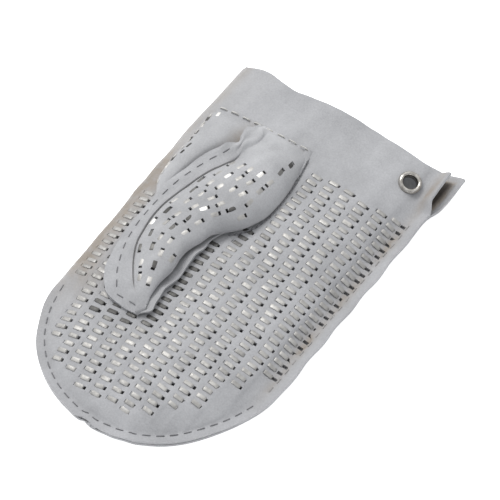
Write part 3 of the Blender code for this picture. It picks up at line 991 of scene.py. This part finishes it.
def build_patch():
    u, y = np.meshgrid(np.linspace(0, 1 + PATCH_TURN, 34), np.linspace(THUMB_TOP, PATCH_FOOT_Y, 60))
    # Painted shade in the hollow below the flange's top, and along the gusset's outer seam.
    shade_paint = 1.3 * bump(y, 82, 12) * smooth(0.55, 0.95, u) + 0.35 * smooth(0.12, 0, u)
    shade_paint = np.clip(shade_paint, 0, 1.3)
    obj = leather_sheet("thumb_patch_skin", patch_skin(u, y), THUMB_MAT, thickness=THIN_LEATHER, painted_shade=shade_paint)
    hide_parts("thumb_side_patch")
    return obj


def cut_slits(obj, slits):
    """Cuts the slit that each of the thumb's staples goes down through."""
    low, high = SLIT_CUT_ENDS
    half = SLIT_CUT_HALF
    verts = []
    faces = []
    for place, down, side, normal in slits:
        start = len(verts)
        for n in SLIT_CUT_HEIGHTS:
            for a, b in ((low, -half), (high, -half), (high, half), (low, half)):
                verts.append(tuple(place + down * a + side * b + normal * n))
        sides = [(k, (k + 1) % 4, (k + 1) % 4 + 4, k + 4) for k in range(4)]
        for face in [(3, 2, 1, 0), (4, 5, 6, 7), *sides]:
            faces.append(tuple(start + i for i in face))
    cut_away(obj, make_piece("slit_cutter", verts, faces, THUMB_MAT))


def thumb_staple_places(luck):
    """The (x, y) of each of the thumb's staples, in staggered courses across it."""
    places = []
    course = 0
    y = 76.0
    while y > -50:
        crease = float(curve(CREASE, y))
        right = float(curve(THUMB_RIGHT, y))
        first = crease + 4.5 + (3.5 if course % 2 else 0)
        x = max(first, -2.0) if y > 64 else first
        while x < right - 3:
            places.append((x + luck.uniform(-0.8, 0.8), y + luck.uniform(-1.2, 1.2)))
            x += THUMB_STAPLE_PITCH
        y -= THUMB_COURSE_PITCH
        course += 1
    return places


def build_thumb_staples(front):
    """Short staples along the thumb, each with a slit cut in its front at one end."""
    luck = random.Random(19)
    slits = []
    staples = []
    for x, y in thumb_staple_places(luck):
        edge = float(curve(CREASE, y)) + CREASE_WIDTH
        across_share = (x - edge) / (float(curve(THUMB_RIGHT, y)) - edge)
        u = CREASE_SHARE + across_share * (ROLL_SHARE - CREASE_SHARE)
        here, *axes = panel_axes(thumb_skin, u, y, 0.03, 2.5)
        down, side, normal = skewed(axes, luck, 0.15, 0.12)
        points = staple_points(here - normal * 0.42, down, side, normal, *THUMB_STAPLE)
        # The very dark and the brightest tones paint dark and bright reflections on random staples.
        staples.append((points, luck.choice((0.05, 0.15, 0.45, 0.55, 0.65, 0.75, 1.0))))
        end = luck.choice((-1, -1, 1))
        slits.append((here + down * end * (3.0 + luck.uniform(0, 0.4)), down * -end, side * -end, normal))
    cut_slits(front, slits)
    obj = staple_group("thumb_staple_skin", staples)
    kinds = ("thumb_staples_", "thumb_base_staples_")
    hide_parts(*[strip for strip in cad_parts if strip.startswith(kinds)])
    return obj


# ---------------- threads
def tube(points, radius):
    """The vertices and faces of a thin closed tube along points."""
    sides = 6
    verts = []
    faces = []
    for i, p in enumerate(points):
        ahead = Vector(points[min(i + 1, len(points) - 1)]) - Vector(points[max(i - 1, 0)])
        ahead.normalize()
        side = ahead.cross(Vector((0, 0, 1))).normalized()
        up = side.cross(ahead)
        for k in range(sides):
            turn = math.tau * k / sides
            verts.append(Vector(p) + (side * math.cos(turn) + up * math.sin(turn)) * radius)
    for i in range(len(points) - 1):
        for k in range(sides):
            a = i * sides + k
            b = i * sides + (k + 1) % sides
            faces.append((a, b, b + sides, a + sides))
    faces.append(tuple(reversed(range(sides))))
    faces.append(tuple(range((len(points) - 1) * sides, len(points) * sides)))
    return verts, faces


def stitches(name, route, material, length, gap, radius, start=1):
    """Running stitches along a route of points, on leather that faces up."""
    route = np.asarray(route, float)
    steps = np.linalg.norm(np.diff(route, axis=0), axis=1)
    reached = np.concatenate([[0], np.cumsum(steps)])
    verts = []
    faces = []
    at = start
    while at + length < reached[-1]:
        run = []
        for share in (0, 0.12, 0.35, 0.65, 0.88, 1):
            place = [np.interp(at + length * share, reached, route[:, k]) for k in range(3)]
            height = -STITCH_DIP if share in (0, 1) else STITCH_LIFT
            run.append(Vector(place) + Vector((0, 0, height)))
        more, sides = tube(run, radius)
        faces += [tuple(i + len(verts) for i in face) for face in sides]
        verts += [tuple(v) for v in more]
        at += length + gap
    obj = make_piece(name, verts, faces, material)
    return obj


def fingertip_stitches():
    turn = np.radians(np.linspace(0, 176, 120))
    x = -(HALF_WIDTH - STITCH_INSET) * np.cos(turn)
    y = TIP_CENTRE_Y - (TIP_REACH - STITCH_INSET) * np.sin(turn)
    spread = flared(x, y)
    route = np.column_stack([spread, notched(spread, y), palm_face(x, y)])
    obj = stitches("fingertip_stitches", route, THREAD_MAT, length=5.6, gap=3.0, radius=0.38)
    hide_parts("fingertip_thread")
    return obj


def side_seam_stitches():
    """Stitches in the valley beside the standing rim, up the right side."""
    y = np.linspace(TIP_CENTRE_Y + 3, 98, 60)
    x = 0 * y + HALF_WIDTH - SEAM_INSET + 1.6
    route = np.column_stack([flared(x, y), y, palm_face(x, y)])
    obj = stitches("side_seam_stitches", route, SIDE_THREAD_MAT, length=5.0, gap=3.4, radius=0.34)
    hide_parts("side_seam_thread")
    return obj


def thumb_flange_stitches():
    """Stitches down the thumb's flange and round its tip."""
    share = 0.085
    foot = -61.5
    down = [thumb_skin(share, y) for y in np.linspace(66, foot, 80)]
    round_tip = [thumb_skin(share + 0.42 * part, foot - 2.0 * part) for part in np.linspace(0.1, 1, 14)]
    obj = stitches("thumb_flange_stitches", down + round_tip, THREAD_MAT, length=5.5, gap=4.2, radius=0.36)
    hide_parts("thumb_seam_thread")
    return obj


def thumb_edge_shadow_line():
    """A close line of dark thread along the seam at the right of the thumb's root, painted as the shadow
    gap there.
    """
    y = np.linspace(92, 15, 60)
    x = curve(THUMB_RIGHT, y) + 0.6
    route = np.column_stack([x, y, palm_face(x, y) + 0.7])
    return stitches("thumb_edge_shadow_line", route, THREAD_MAT, length=3.0, gap=0.7, radius=0.45, start=0)


def thumb_top_stitches():
    """Stitches across the top of the thumb and its gusset."""
    x = np.linspace(-71, -1, 40)
    y = 98.2
    route = np.column_stack([x, 0 * x + y, palm_face(x, y) + 2.0])
    return stitches("thumb_top_stitches", route, PALE_THREAD_MAT, length=5.2, gap=3.6, radius=0.5)


def thumb_gusset_stitches():
    """Stitches down the gusset's outer margin."""
    route = [patch_skin(0.05, y) for y in np.linspace(92, 24, 40)]
    obj = stitches("thumb_gusset_stitches", route, PALE_THREAD_MAT, length=3.2, gap=4.6, radius=0.45)
    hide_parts("thumb_patch_thread")
    return obj


palm, palm_row_kinds = build_palm()
staple_rows = build_rows(palm_row_kinds)
cuff, eyelet_place, eyelet_normal = build_cuff()
eyelet = build_eyelet(eyelet_place, eyelet_normal)
back = build_back()
thumb_front = build_thumb_front()
thumb_back = build_thumb_back()
patch = build_patch()
thumb_staples = build_thumb_staples(thumb_front)
tip_thread = fingertip_stitches()
side_thread = side_seam_stitches()
flange_thread = thumb_flange_stitches()
edge_shadow_line = thumb_edge_shadow_line()
top_thread = thumb_top_stitches()
gusset_thread = thumb_gusset_stitches()


for piece in (palm, back, tip_thread, side_thread, *staple_rows):
    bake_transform(piece)
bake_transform(cuff)
for piece in (thumb_front, thumb_staples, flange_thread, edge_shadow_line):
    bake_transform(piece)
for piece in (patch, gusset_thread):
    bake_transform(piece)
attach(thumb_back, "thumb")
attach(top_thread, "hand")
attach(eyelet, "cuff_corner")


# ---------------- stage
# Lengths in metres, but for the sensor's.
FLOOR_HALF = 4.0
FLOOR_Z = -0.0005
SKY_WAY = (-0.28, 0.3, 0.9)
SKY_STOPS = ((0.25, (0.40, 0.41, 0.43)), (0.6, (0.62, 0.63, 0.65)), (0.95, (0.84, 0.85, 0.86)))
SKY_STRENGTH = 1.22
CAMERA_AZIMUTH = 34.4
CAMERA_ELEVATION = 53.4
CAMERA_DISTANCE = 6.0
CAMERA_TARGET = (0.0062, 0.0197, 0.0095)
VIEW_WIDTH = 0.3125
SENSOR = 36


def add_light(name, place, size, power, colour):
    target = Vector((0, 0, 0.02))
    data = bpy.data.lights.new(name, "AREA")
    data.energy = power
    data.color = colour
    data.shape = "RECTANGLE"
    data.size = size
    data.size_y = size
    lamp = add_object(name, data)
    lamp.location = place
    lamp.rotation_euler = (target - Vector(place)).to_track_quat("-Z", "Y").to_euler()


def build_floor():
    floor_mesh = bpy.data.meshes.new("floor")
    corners = [(x * FLOOR_HALF, y * FLOOR_HALF, 0) for x, y in ((-1, -1), (1, -1), (1, 1), (-1, 1))]
    floor_mesh.from_pydata(corners, [], [(0, 1, 2, 3)])
    floor = add_object("floor", floor_mesh)
    floor.location.z = FLOOR_Z
    material, _, shader = new_material("floor_white")
    set_up(shader, **{"Base Color": (0.9, 0.9, 0.9, 1), "Roughness": 0.9})
    set_up(shader, **{"Emission Color": (1, 1, 1, 1), "Emission Strength": 0.6})
    floor_mesh.materials.append(material)


def build_light():
    """A soft sky, brightest overhead, with a key lamp and a large card on the thumb's side."""
    world = bpy.data.worlds.new("studio")
    bpy.context.scene.world = world
    world.use_nodes = True
    tree = world.node_tree
    background = set_up(tree.nodes["Background"], Strength=SKY_STRENGTH)
    way = node(tree, "ShaderNodeVectorMath", operation="DOT_PRODUCT")
    way.inputs[1].default_value = Vector(SKY_WAY).normalized()
    tree.links.new(node(tree, "ShaderNodeTexCoord").outputs["Generated"], way.inputs[0])
    share = node(tree, "ShaderNodeMapRange", **{"From Min": -1.0})
    tree.links.new(way.outputs["Value"], share.inputs["Value"])
    sky = ramp(tree, share.outputs["Result"], SKY_STOPS)
    tree.links.new(sky, background.inputs["Color"])
    add_light("key", place=(-2.1, 0.9, 3.6), size=1.3, power=92, colour=(1.0, 0.99, 0.975))
    add_light("card", place=(-2.0, 2.2, 5.2), size=4.5, power=45, colour=(1.0, 0.99, 0.98))


def build_camera():
    """A long lens, so that the view is nearly parallel."""
    azimuth = math.radians(CAMERA_AZIMUTH)
    elevation = math.radians(CAMERA_ELEVATION)
    back_way = Vector((
        math.sin(azimuth) * math.cos(elevation),
        -math.cos(azimuth) * math.cos(elevation),
        math.sin(elevation),
    ))
    data = bpy.data.cameras.new("camera")
    data.sensor_width = SENSOR
    data.lens = SENSOR * CAMERA_DISTANCE / VIEW_WIDTH
    camera = add_object("camera", data)
    camera.location = Vector(CAMERA_TARGET) + back_way * CAMERA_DISTANCE
    camera.rotation_euler = (-back_way).to_track_quat("-Z", "Y").to_euler()
    bpy.context.scene.camera = camera


build_floor()
build_light()
build_camera()
bpy.context.scene.view_settings.view_transform = "Standard"


def corners(box):
    return [[float(value) for value in corner] for corner in box]
